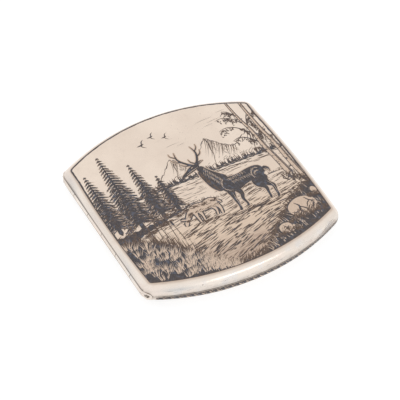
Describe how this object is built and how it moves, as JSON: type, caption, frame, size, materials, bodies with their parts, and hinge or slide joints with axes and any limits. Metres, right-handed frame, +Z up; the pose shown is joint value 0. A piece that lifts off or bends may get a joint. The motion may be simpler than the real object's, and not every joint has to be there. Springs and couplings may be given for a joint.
{
  "type": "snuff box",
  "caption": "Slim bow-ended hinged metal snuff box: crowned lid and base with bullnose rims, niello inlay, inner bezel and a full-length side hinge.",
  "frame": {"origin": "centre of the bounding box in X and Y, on the flat the case stands on", "axes": "+Z up through the lid, +X from the hinge side to the opening side, +Y from the front bowed end to the back one"},
  "size_m": [0.085, 0.0898, 0.0101],
  "materials": {
    "silver": "softly polished silver with a warm cast, worn on the rims",
    "niello": "smooth blue-black niello inlay",
    "pin_steel": "darkened steel wire"
  },
  "bodies": {
    "base": {"base_shell": "silver", "base_joint_strip": "silver", "base_bezel": "silver", "base_niello_band": "niello", "base_niello_border": "niello", "base_knuckle_1": "silver", "base_knuckle_2": "silver", "base_knuckle_3": "silver", "hinge_pin": "pin_steel"},
    "lid": {"lid_shell": "silver", "lid_joint_strip": "silver", "lid_niello_border": "niello", "lid_niello_firs": "niello", "lid_niello_bank": "niello", "lid_niello_thicket": "niello", "lid_niello_far_shore": "niello", "lid_niello_ridge": "niello", "lid_niello_stag": "niello", "lid_knuckle_1": "silver", "lid_knuckle_2": "silver", "lid_knuckle_3": "silver"}
  },
  "joints": [
    {"name": "lid_hinge", "type": "hinge", "parent": "base", "child": "lid", "pos_m": [-0.0411, 0, 0.00494], "axis": [0, -1, 0], "range_deg": [0, 100]}
  ]
}
